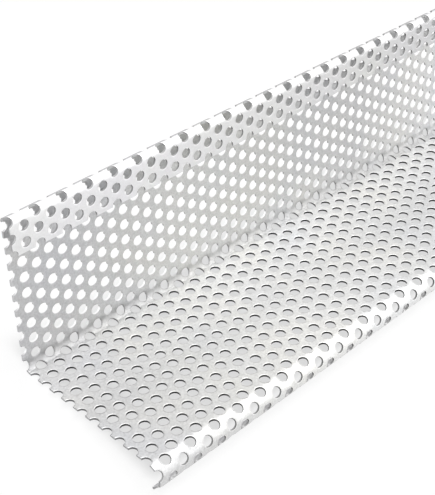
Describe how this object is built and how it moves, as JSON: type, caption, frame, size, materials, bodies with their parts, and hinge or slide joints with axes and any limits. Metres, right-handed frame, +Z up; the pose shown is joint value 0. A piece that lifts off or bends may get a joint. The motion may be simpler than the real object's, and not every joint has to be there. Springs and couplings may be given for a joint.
{
  "type": "perforated aluminium angle",
  "caption": "Aluminium angle folded from round-hole perforated sheet, with a hemmed upper edge and a rolled front edge, for gravel stops and vent gaps.",
  "frame": {"origin": "centre of the bounding box in plan, on the floor, with the angle lying as it comes to rest on its heel and its rolled edge", "axes": "+X along the length, +Y from the rolled front edge towards the upright leg, +Z up"},
  "size_m": [0.5, 0.102, 0.0786],
  "materials": {
    "mill_aluminium": "mill finish, bare"
  },
  "bodies": {
    "root": {"perforated_angle": "mill_aluminium"}
  },
  "joints": []
}
